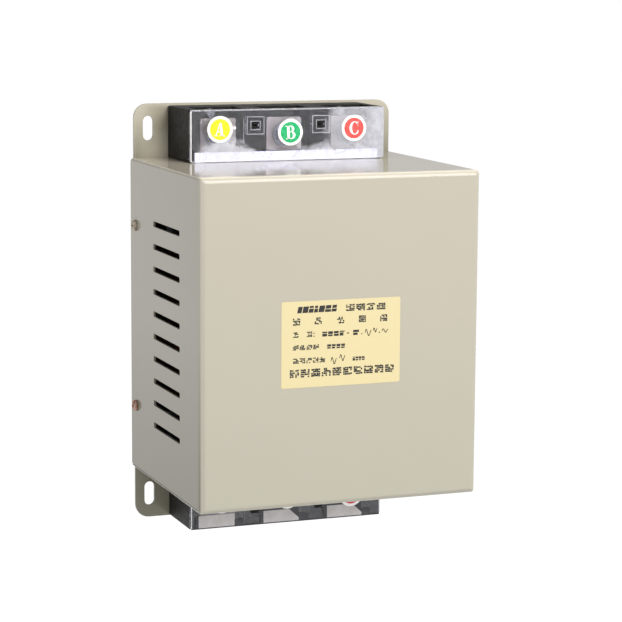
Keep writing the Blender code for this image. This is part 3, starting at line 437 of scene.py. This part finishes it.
def plain_plastic(name, colour, roughness):
    """One colour with an uneven sheen."""
    made = Finish(name, colour, roughness)
    made.put("Roughness", made.uneven(4 * MM, 3, roughness - 0.08, roughness + 0.1))
    made.bumps((made.noise(1.2 * MM, 2), 0.004 * MM))
    return made.material


def metal(name, colour, other, roughness, grain=(1, 1, 1), size=3 * MM, metallic=1.0):
    """Bare or plated metal in two mixed colours, whose grain is longest where its scale is least."""
    made = Finish(name, colour, roughness, metallic)
    patches = made.spread(made.noise(size * 3, 4), 0.35, 0.65)
    made.put("Base Color", made.mix(patches, colour, other))
    made.put("Roughness", made.uneven(size, 4, roughness - 0.1, roughness + 0.14, stretch=grain))
    made.bumps((made.noise(size / 3, 3, stretch=grain), 0.006 * MM))
    return made.material


def rusty_metal():
    """Plated steel with rough brown rust over most of it."""
    made = Finish("rusty_steel_look", linear(150, 130, 110), 0.6, 0.0)
    rust = made.spread(made.noise(1.6 * MM, 5, 0.7), 0.40, 0.56)
    shades = made.mix(made.noise(0.7 * MM, 4), linear(110, 58, 38), linear(186, 124, 92))
    made.put("Base Color", made.mix(rust, linear(176, 162, 150), shades))
    made.put("Metallic", made.spread(rust, 0, 1, 0.9, 0.0))
    made.put("Roughness", made.spread(rust, 0, 1, 0.35, 0.9))
    made.bumps((made.noise(0.5 * MM, 4), 0.08 * MM))
    return made.material


def laminations():
    """Sheet edges of the core, as grey bands about 3 mm apart along Y."""
    made = Finish("core_steel_look", linear(92, 94, 98), 0.5, 0.85)
    waves = made.bands("Y", CORE_BAND, 0.2)
    made.put("Base Color", made.mix(waves, linear(60, 60, 64), linear(118, 120, 124)))
    made.bumps((waves, 0.05 * MM))
    return made.material


def winding_copper():
    """Varnished copper, with shade and height in slow bands up the coil."""
    made = Finish("varnished_copper_look", linear(150, 84, 48), 0.3, 0.55, Coat_Weight=0.6,
                  Coat_Roughness=0.15)
    turns = made.bands("Z", COIL_BAND, 0.3)
    made.put("Base Color", made.mix(turns, linear(46, 25, 16), linear(104, 60, 38)))
    made.bumps((turns, 0.5 * MM))
    return made.material


def floor_finish():
    """A floor that glows to plain white, with a faint stir in its tone."""
    tones = [(FLOOR_TONE * share,) * 3 + (1,) for share in (0.98, 1.02)]
    made = Finish("floor_look", tones[0], 0.9, Specular_IOR_Level=0.0)
    made.put("Base Color", made.mix(made.noise(0.5), *tones))
    made.set("Emission Color", (1, 1, 1, 1))
    made.set("Emission Strength", FLOOR_GLOW)
    return made.material


def smooth_by_angle(piece, degrees):
    """Joined corners, and shading that is smooth over the small angles only."""
    mesh = piece.data
    if "custom_normal" in mesh.attributes:
        mesh.attributes.remove(mesh.attributes["custom_normal"])
    if "sharp_edge" in mesh.attributes:
        mesh.attributes.remove(mesh.attributes["sharp_edge"])
    mesh.polygons.foreach_set("use_smooth", [True] * len(mesh.polygons))
    weld = piece.modifiers.new("weld", "WELD")
    weld.merge_threshold = WELD_GAP
    split = piece.modifiers.new("split", "EDGE_SPLIT")
    split.split_angle = math.radians(degrees)
    flat = piece.modifiers.new("flat", "WEIGHTED_NORMAL")
    flat.mode = "FACE_AREA"
    flat.weight = FACE_WEIGHT


def dress(looks):
    """Gives each CAD node the look of its slot, or a zinc-plated screw its own."""
    slots = {name: node.material_slots[0].material.name.split(".")[0]
             for name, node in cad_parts.items()}
    for name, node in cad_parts.items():
        kind = name.rsplit("_", 2)[0]
        if slots[name] != "zinc_steel" or kind not in looks:
            kind = slots[name]
        node.material_slots[0].material = looks[kind]
        smooth_by_angle(node, NODE_ANGLE)


def piece_of(name, bm, material):
    """A mesh piece of the object from bm, with its material and slot."""
    bmesh.ops.recalc_face_normals(bm, faces=bm.faces)
    mesh = bpy.data.meshes.new(name)
    bm.to_mesh(mesh)
    bm.free()
    mesh.materials.append(material)
    piece = bpy.data.objects.new(name, mesh)
    bpy.context.scene.collection.objects.link(piece)
    smooth_by_angle(piece, PIECE_ANGLE)
    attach(piece, "root")


def plate(bm, outline, y, thickness, turn=0.0, about=(0, 0), bevel=0.0):
    """A flat plate that faces -Y, from an outline of (x, z), with its front at y."""
    cos, sin = math.cos(turn), math.sin(turn)
    cx, cz = about
    turned = [(cx + (x - cx) * cos - (z - cz) * sin, cz + (x - cx) * sin + (z - cz) * cos)
              for x, z in outline]
    middle = (sum(p[0] for p in turned) / len(turned), sum(p[1] for p in turned) / len(turned))

    def inset(p, d):
        dx, dz = p[0] - middle[0], p[1] - middle[1]
        size = math.hypot(dx, dz)
        return (p[0] - dx / size * d, p[1] - dz / size * d)

    rings = [[bm.verts.new((x, y + thickness, z)) for x, z in turned]]
    if bevel:
        rings.append([bm.verts.new((x, y + bevel, z)) for x, z in turned])
        turned = [inset(p, bevel) for p in turned]
    rings.append([bm.verts.new((x, y, z)) for x, z in turned])
    count = len(turned)
    for low, high in zip(rings, rings[1:]):
        for k in range(count):
            bm.faces.new((low[k], low[(k + 1) % count], high[(k + 1) % count], high[k]))
    bm.faces.new(rings[0][::-1])
    bm.faces.new(rings[-1])


def rounded(left, right, foot, top, radius, steps=8):
    """The outline of a rectangle with round corners."""
    points = []
    corners = ((right - radius, top - radius, 0), (left + radius, top - radius, 90),
               (left + radius, foot + radius, 180), (right - radius, foot + radius, 270))
    for cx, cz, start in corners:
        for k in range(steps + 1):
            angle = math.radians(start + 90 * k / steps)
            points.append((cx + radius * math.cos(angle), cz + radius * math.sin(angle)))
    return points


def circle(cx, cz, radius, steps=72):
    """The outline of a circle."""
    turns = [2 * math.pi * k / steps for k in range(steps)]
    return [(cx + radius * math.cos(t), cz + radius * math.sin(t)) for t in turns]


def bowl(cx, cz, rx, rz, thick, thin, start, end, steps=14):
    """Pieces of a round stroke, thick at its sides and thin at its top and foot."""
    pieces = []
    for k in range(steps):
        pair = []
        for s in (k, k + 1):
            angle = math.radians(start + (end - start) * s / steps)
            cos, sin = math.cos(angle), math.sin(angle)
            pair.append(((cx + rx * cos, cz + rz * sin),
                         (cx + (rx - thick) * cos, cz + (rz - thin) * sin)))
        (a, b), (c, d) = pair
        pieces.append([a, c, d, b])
    return pieces


def box_stroke(left, right, foot, top):
    """The outline of a rectangle."""
    return [(left, foot), (right, foot), (right, top), (left, top)]


# Letter strokes, in a box 1 high: each stroke is a convex outline of (x, z)
LETTERS = {
    "a": [
        [(-0.34, 0.0), (-0.27, 0.0), (0.01, 1.0), (-0.05, 1.0)],
        [(0.08, 0.0), (0.30, 0.0), (0.06, 1.0), (-0.05, 1.0)],
        box_stroke(-0.22, 0.16, 0.30, 0.37),
        box_stroke(-0.43, -0.15, 0.0, 0.06),
        box_stroke(0.0, 0.42, 0.0, 0.06),
    ],
    "b": [
        box_stroke(-0.26, -0.07, 0.0, 1.0),
        box_stroke(-0.38, 0.06, 0.94, 1.0),
        box_stroke(-0.38, 0.06, 0.0, 0.06),
        box_stroke(-0.10, 0.08, 0.50, 0.56),
        *bowl(0.04, 0.75, 0.26, 0.25, 0.18, 0.06, -90, 90),
        *bowl(0.06, 0.28, 0.32, 0.28, 0.20, 0.06, -90, 90),
    ],
    "c": [
        *bowl(0.06, 0.5, 0.42, 0.5, 0.20, 0.06, 42, 318, 24),
        [(0.30, 0.66), (0.35, 0.66), (0.37, 1.0), (0.32, 1.0)],
        [(0.24, 0.82), (0.35, 0.70), (0.36, 0.86), (0.30, 0.92)],
        [(0.30, 0.34), (0.24, 0.18), (0.32, 0.10), (0.37, 0.30)],
    ],
}


def phase_discs(looks):
    """Round stickers on the clear covers: white rim, coloured field and a plain phase letter."""
    for (end, phase), (x, z, lean) in DISC_PLACES.items():
        cx, cz = x * MM, z * MM
        bm = bmesh.new()
        plate(bm, circle(cx, cz, DISC_R), LID_Y - DISC_T, DISC_T - DISC_LIFT, bevel=DISC_BEVEL)
        piece_of(f"phase_disc_{end}_{phase}", bm, looks["disc_white"])
        bm = bmesh.new()
        front = LID_Y - DISC_T - INK_T
        plate(bm, circle(cx, cz, DISC_COLOUR_R), front, INK_T)
        piece_of(f"phase_colour_{end}_{phase}", bm, looks[f"disc_{end}_{phase}"])
        bm = bmesh.new()
        for stroke in LETTERS[phase]:
            outline = [(cx + px * LETTER_H, cz + (pz - 0.5) * LETTER_H) for px, pz in stroke]
            plate(bm, outline, front - INK_T, INK_T, math.radians(lean), (cx, cz))
        piece_of(f"phase_letter_{end}_{phase}", bm, looks["disc_white"])


def mark(bm, left, foot, width, height, y, chance, across):
    """Small uneven blocks, or two bars where few go across: dense print, but no character."""
    if across <= MOST_BARRED:
        slit = foot + height * chance.uniform(0.3, 0.65)
        plate(bm, box_stroke(left, left + width * chance.uniform(0.7, 1), foot, slit), y, INK_T)
        plate(bm, box_stroke(left, left + width, slit + MARK_SLIT, foot + height), y, INK_T)
        return
    cell_w, cell_h = width / across, height / MARK_ROWS
    for row in range(MARK_ROWS):
        for k in range(across):
            if chance.random() < MARK_GAPS:
                continue
            x = left + cell_w * (k + chance.uniform(0, 0.15))
            z = foot + cell_h * (row + chance.uniform(0, 0.2))
            wide = cell_w * chance.uniform(0.85, 1.05)
            tall = cell_h * chance.uniform(0.65, 0.95)
            plate(bm, box_stroke(x, x + wide, z, z + tall), y, INK_T)


def heading(bm, y, chance):
    """A bold run of leaning blocks of uneven widths, some with a slit."""
    left, right, foot, top = (value * MM for value in LABEL_HEADING)

    def leaning(start, wide, low, high):
        a, b = (HEADING_LEAN * (z - foot) for z in (low, high))
        plate(bm, [(start + a, low), (start + wide + a, low), (start + wide + b, high),
                   (start + b, high)], y, INK_T)

    x = left
    while x < right - HEADING_REST:
        wide = min(chance.uniform(*HEADING_WIDTHS) * MM, right - x)
        if chance.random() < HEADING_SPLIT:
            middle = foot + (top - foot) * chance.uniform(0.35, 0.6)
            leaning(x, wide, foot, middle)
            leaning(x, wide * chance.uniform(0.6, 1.0), middle + HEADING_SLIT, top)
        else:
            leaning(x, wide, foot, top - chance.uniform(0, 0.6) * MM)
        x += wide + HEADING_SPACE


def scribble(bm, left, foot, width, height, y):
    """A plain wave of the pen, which stands for no letter or number."""
    points = []
    for k in range(PEN_STEPS + 1):
        t = k / PEN_STEPS
        wave = math.sin(2 * math.pi * t * SCRIBBLE_WAVES)
        x = left + width * t
        z = foot + height * (0.5 + (SWING - SWING_LOSS * t) * wave)
        points.append(Vector((x, z)))
    half = PEN_W / 2
    for a, b in zip(points, points[1:]):
        along = (b - a).normalized()
        side = Vector((-along.y, along.x)) * half
        a, b = a - along * half * 0.5, b + along * half * 0.5
        outline = [tuple(a + side), tuple(a - side), tuple(b - side), tuple(b + side)]
        plate(bm, outline, y, INK_T)


def rating_label(looks):
    """A cream sticker on the front, with blocks in place of print and scribbles for handwriting."""
    front = FRONT_Y - LABEL_T
    bm = bmesh.new()
    outline = rounded(LABEL_LEFT, LABEL_RIGHT, LABEL_FOOT, LABEL_TOP, LABEL_CORNER)
    plate(bm, outline, front, LABEL_T, bevel=LABEL_BEVEL)
    piece_of("rating_label", bm, looks["label"])

    chance = random.Random(LABEL_SEED)
    bm = bmesh.new()
    ink = front - INK_T
    for left, right, foot, top, count, across in LABEL_RUNS:
        pitch = (right - left) / (count - MARK_SPACE)
        for k in range(count):
            mark(bm, (left + pitch * k) * MM, foot * MM, pitch * MARK_FILL * MM,
                 (top - foot) * MM, ink, chance, across)
    heading(bm, ink, chance)
    for x, z in LABEL_DOTS:
        plate(bm, circle(x * MM, z * MM, DOT_R, 12), ink, INK_T)
    piece_of("label_print", bm, looks["print"])

    bm = bmesh.new()
    for left, foot, wide, tall in SCRIBBLES:
        scribble(bm, left * MM, foot * MM, wide * MM, tall * MM, ink)
    piece_of("label_pen_marks", bm, looks["print"])


def frame_lines(bm, cx, cz, width, height, line, y, thickness):
    """Four narrow plates round a rectangle."""
    w, h = width / 2, height / 2
    for left, right, foot, top in ((-w, w, h - line, h), (-w, w, -h, -h + line),
                                   (-w, -w + line, -h + line, h - line),
                                   (w - line, w, -h + line, h - line)):
        plate(bm, box_stroke(cx + left, cx + right, cz + foot, cz + top), y, thickness)


def cover_edges(looks):
    """Frosted lines at the latches, painted highlights along the clear covers' edges, a rib and a
    peg, and on the lower cover's foot a dark line, pale patches for the lit feet of the bars, and
    painted shade and shadows beside and over them.
    """
    rims, windows = bmesh.new(), bmesh.new()
    for x in (-LATCH_X, LATCH_X):
        frame_lines(rims, x, LATCH_Z, LATCH_W, LATCH_H, RIM_W, LID_Y - RIM_T, RIM_T)
        frame_lines(windows, x, LATCH_Z, WINDOW_W + 2 * RIM_W, WINDOW_H + 2 * RIM_W, RIM_W,
                    LID_Y - RIM_T, RIM_T)
    piece_of("latch_rims_upper", rims, looks["frosted_rim"])
    piece_of("latch_windows_upper", windows, looks["frosted_faint"])
    # Painted highlight: a pale line down each clear cover's left corner
    for end in ("upper", "lower"):
        low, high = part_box(f"clear_cover_{end}")
        bm = bmesh.new()
        left = low.x + EDGE_IN
        plate(bm, box_stroke(left, left + CORNER_W, low.z + EDGE_IN, high.z - EDGE_IN),
              LID_Y - RIM_T, RIM_T)
        piece_of(f"cover_corner_highlight_{end}", bm, looks["frosted_bright"])
    # Painted highlights along the upper cover's top and down a rib, and a painted glint on a snap
    # peg
    low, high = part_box("clear_cover_upper")
    bm = bmesh.new()
    line_foot, line_top = (high.z - drop for drop in TOP_LINE)
    plate(bm, box_stroke(low.x + EDGE_IN, high.x - EDGE_IN, line_foot, line_top),
          LID_Y - RIM_T, RIM_T)
    plate(bm, box_stroke(RIB_X, RIB_X + RIB_W, RIB_FOOT, RIB_TOP), LID_Y - RIM_T, RIM_T)
    piece_of("cover_top_highlights_upper", bm, looks["frosted_faint"])
    bm = bmesh.new()
    plate(bm, circle(*PEG, PEG_R, 24), LID_Y - RIM_T, RIM_T, bevel=PEG_BEVEL)
    piece_of("cover_peg_glint_upper", bm, looks["frosted_bright"])
    low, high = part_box("clear_cover_lower")
    bm = bmesh.new()
    foot = low.z + FOOT_IN
    plate(bm, box_stroke(low.x + EDGE_IN, high.x - EDGE_IN, foot, foot + EDGE_W),
          LID_Y - RIM_T, RIM_T)
    piece_of("cover_foot_lower", bm, looks["dark_edge"])
    # Pale patches for the lit feet of the bars, with painted shade beside them and painted shadows
    # over two
    feet, shades = bmesh.new(), bmesh.new()
    for x in CELL_X:
        for bm, (left, right, height) in ((feet, LIT_CELL_FEET), *((shades, s) for s in CELL_SHADES)):
            patch = box_stroke(x + left, x + right, foot + EDGE_W, foot + EDGE_W + height)
            plate(bm, patch, LID_Y - RIM_T, RIM_T)
        for outline in CELL_SHADOWS if x > CELL_X[0] else ():
            patch = [(x + px * MM, foot + EDGE_W + pz * MM) for px, pz in outline]
            plate(shades, patch, LID_Y - 2 * RIM_T, RIM_T / 2)
    piece_of("lit_cell_feet_lower", feet, looks["cell_foot"])
    piece_of("cell_shades_lower", shades, looks["cell_shade"])


def add_floor(look):
    """A round floor below the part, which fills the background."""
    bm = bmesh.new()
    verts = [bm.verts.new((x, y, FLOOR_Z)) for x, y in circle(0, 0, FLOOR_R, 64)]
    bm.faces.new(verts)
    mesh = bpy.data.meshes.new("floor")
    bm.to_mesh(mesh)
    bm.free()
    mesh.materials.append(look)
    floor = bpy.data.objects.new("floor", mesh)
    bpy.context.scene.collection.objects.link(floor)


def add_light(name, at, aim, size, power):
    """A rectangular light that faces its aim."""
    data = bpy.data.lights.new(name, "AREA")
    data.shape = "RECTANGLE"
    data.size, data.size_y = size
    data.energy = power
    data.color = LIGHT_COLOUR
    light = bpy.data.objects.new(name, data)
    light.location = at
    light.rotation_euler = (Vector(aim) - Vector(at)).to_track_quat("-Z", "Y").to_euler()
    bpy.context.scene.collection.objects.link(light)


def add_world():
    """A pale room that is brighter at the horizon than overhead."""
    world = bpy.data.worlds.new("room")
    bpy.context.scene.world = world
    world.use_nodes = True
    nodes, links = world.node_tree.nodes, world.node_tree.links
    sky = nodes["Background"]
    sky.inputs["Color"].default_value = ROOM_COLOUR
    way = nodes.new("ShaderNodeTexCoord").outputs["Generated"]
    height = nodes.new("ShaderNodeSeparateXYZ")
    links.new(way, height.inputs[0])
    rise = nodes.new("ShaderNodeMapRange")
    links.new(height.outputs["Z"], rise.inputs["Value"])
    for socket, value in (("From Min", 0.0), ("From Max", 1.0), ("To Min", ROOM_LOW),
                          ("To Max", ROOM_HIGH)):
        rise.inputs[socket].default_value = value
    links.new(rise.outputs[0], sky.inputs["Strength"])


def add_camera():
    """The photograph's camera."""
    az, el, roll = CAMERA_AZ, CAMERA_EL, CAMERA_ROLL
    back = Vector((math.sin(az) * math.cos(el), -math.cos(az) * math.cos(el), math.sin(el)))
    right = Vector((math.cos(az), math.sin(az), 0))
    up = back.cross(right)
    r = math.cos(roll) * right + math.sin(roll) * up
    u = -math.sin(roll) * right + math.cos(roll) * up
    place = CAMERA_AT[0] * r + CAMERA_AT[1] * u + CAMERA_AT[2] * back
    data = bpy.data.cameras.new("camera")
    data.sensor_width = SENSOR
    data.lens = FOCAL / PHOTO * SENSOR
    data.clip_start, data.clip_end = CLIP
    camera = bpy.data.objects.new("camera", data)
    turn = Matrix((r, u, back)).transposed().to_4x4()
    camera.matrix_world = Matrix.Translation(place) @ turn
    bpy.context.scene.collection.objects.link(camera)
    bpy.context.scene.camera = camera


# Painted highlights and light on the cover's folds and top, and painted shade low on its left side
FOLD_HIGHLIGHT, TOP_END_FILL_LIGHT, TOP_BAND_HIGHLIGHT = linear(176, 171, 158), linear(172, 166, 152), linear(214, 206, 189)
SIDE_FOOT_SHADE = linear(122, 117, 103)
# Painted light and shade on the plate beside the upper base
EAR_FOOT_LIGHT, EAR_TOP_SHADE = linear(196, 190, 174), linear(122, 117, 102)
SPECK = linear(150, 143, 125)
looks = {
    # Painted shade: the cover a little darker towards its foot, and the plate much darker below its
    # upper ears
    "beige_paint": painted_steel("cover_paint", linear(155, 150, 138), linear(150, 147, 134),
                                 COVER_SHADE_Z_SPAN, cover_painted_light),
    "plate_paint": painted_steel("plate_paint_look", linear(164, 159, 144),
                                 linear(124, 121, 107), PLATE_SHADE_Z_SPAN, ear_painted_light),
    "black_phenolic": black_moulding(),
    "clear_plastic": clear_plastic(),
    "white_plastic": white_strip(),
    "tinned_copper": metal("tinned_copper_look", linear(206, 199, 194), linear(190, 176, 166),
                           0.45, (1, 1, 0.12)),
    "zinc_steel": metal("zinc_steel_look", linear(226, 230, 236), linear(204, 210, 218), 0.4,
                        metallic=0.6),
    "cover_screw": metal("cover_screw_look", linear(206, 196, 180), linear(128, 112, 96), 0.5,
                         size=1.2 * MM, metallic=0.5),
    "base_screw": metal("base_screw_look", linear(150, 152, 156), linear(118, 120, 124), 0.35),
    "rusty_steel": rusty_metal(),
    "core_steel": laminations(),
    "frame_steel": metal("frame_steel_look", linear(120, 122, 126), linear(96, 98, 102), 0.45),
    "insulating_board": plain_plastic("board_look", linear(196, 178, 132), 0.6),
    "former_moulding": plain_plastic("former_look", linear(60, 60, 58), 0.45),
    "varnished_copper": winding_copper(),
    "disc_white": plain_plastic("disc_white_look", linear(246, 244, 242), 0.25),
    "disc_upper_a": plain_plastic("disc_yellow_look", linear(248, 232, 16), 0.25),
    "disc_upper_b": plain_plastic("disc_green_look", linear(20, 160, 98), 0.25),
    "disc_upper_c": plain_plastic("disc_red_look", linear(232, 74, 70), 0.25),
    "disc_lower_a": plain_plastic("disc_yellow_low_look", linear(240, 220, 20), 0.25),
    "disc_lower_b": plain_plastic("disc_green_low_look", linear(20, 150, 92), 0.25),
    "disc_lower_c": plain_plastic("disc_red_low_look", linear(205, 22, 48), 0.25),
    "label": plain_plastic("label_look", linear(184, 172, 132), 0.42),
    "print": plain_plastic("print_look", linear(14, 13, 11), 0.6),
    "frosted_rim": frosted_plastic("frosted_rim_look", linear(180, 180, 188), 0.65),
    # Frosted latch windows, and painted highlights along the upper cover's top and a rib
    "frosted_faint": frosted_plastic("frosted_faint_look", linear(190, 190, 200), 0.45),
    # Pale patches for the lit feet of the bars, and painted shade beside them
    "cell_foot": frosted_plastic("cell_foot_look", linear(204, 200, 200), 0.8, 0.1, 9 * MM),
    "cell_shade": frosted_plastic("cell_shade_look", linear(66, 66, 72), 0.85, 0.06, 6 * MM),
    "dark_edge": plain_plastic("dark_edge_look", linear(40, 40, 44), 0.4),
    # Painted highlights and a painted glint on the clear covers
    "frosted_bright": frosted_plastic("frosted_bright_look", linear(250, 250, 252), 0.8),
}

dress(looks)
phase_discs(looks)
rating_label(looks)
cover_edges(looks)
add_floor(floor_finish())
add_world()
for light in LIGHTS:
    add_light(*light)
add_camera()
bpy.context.scene.view_settings.view_transform = "Standard"
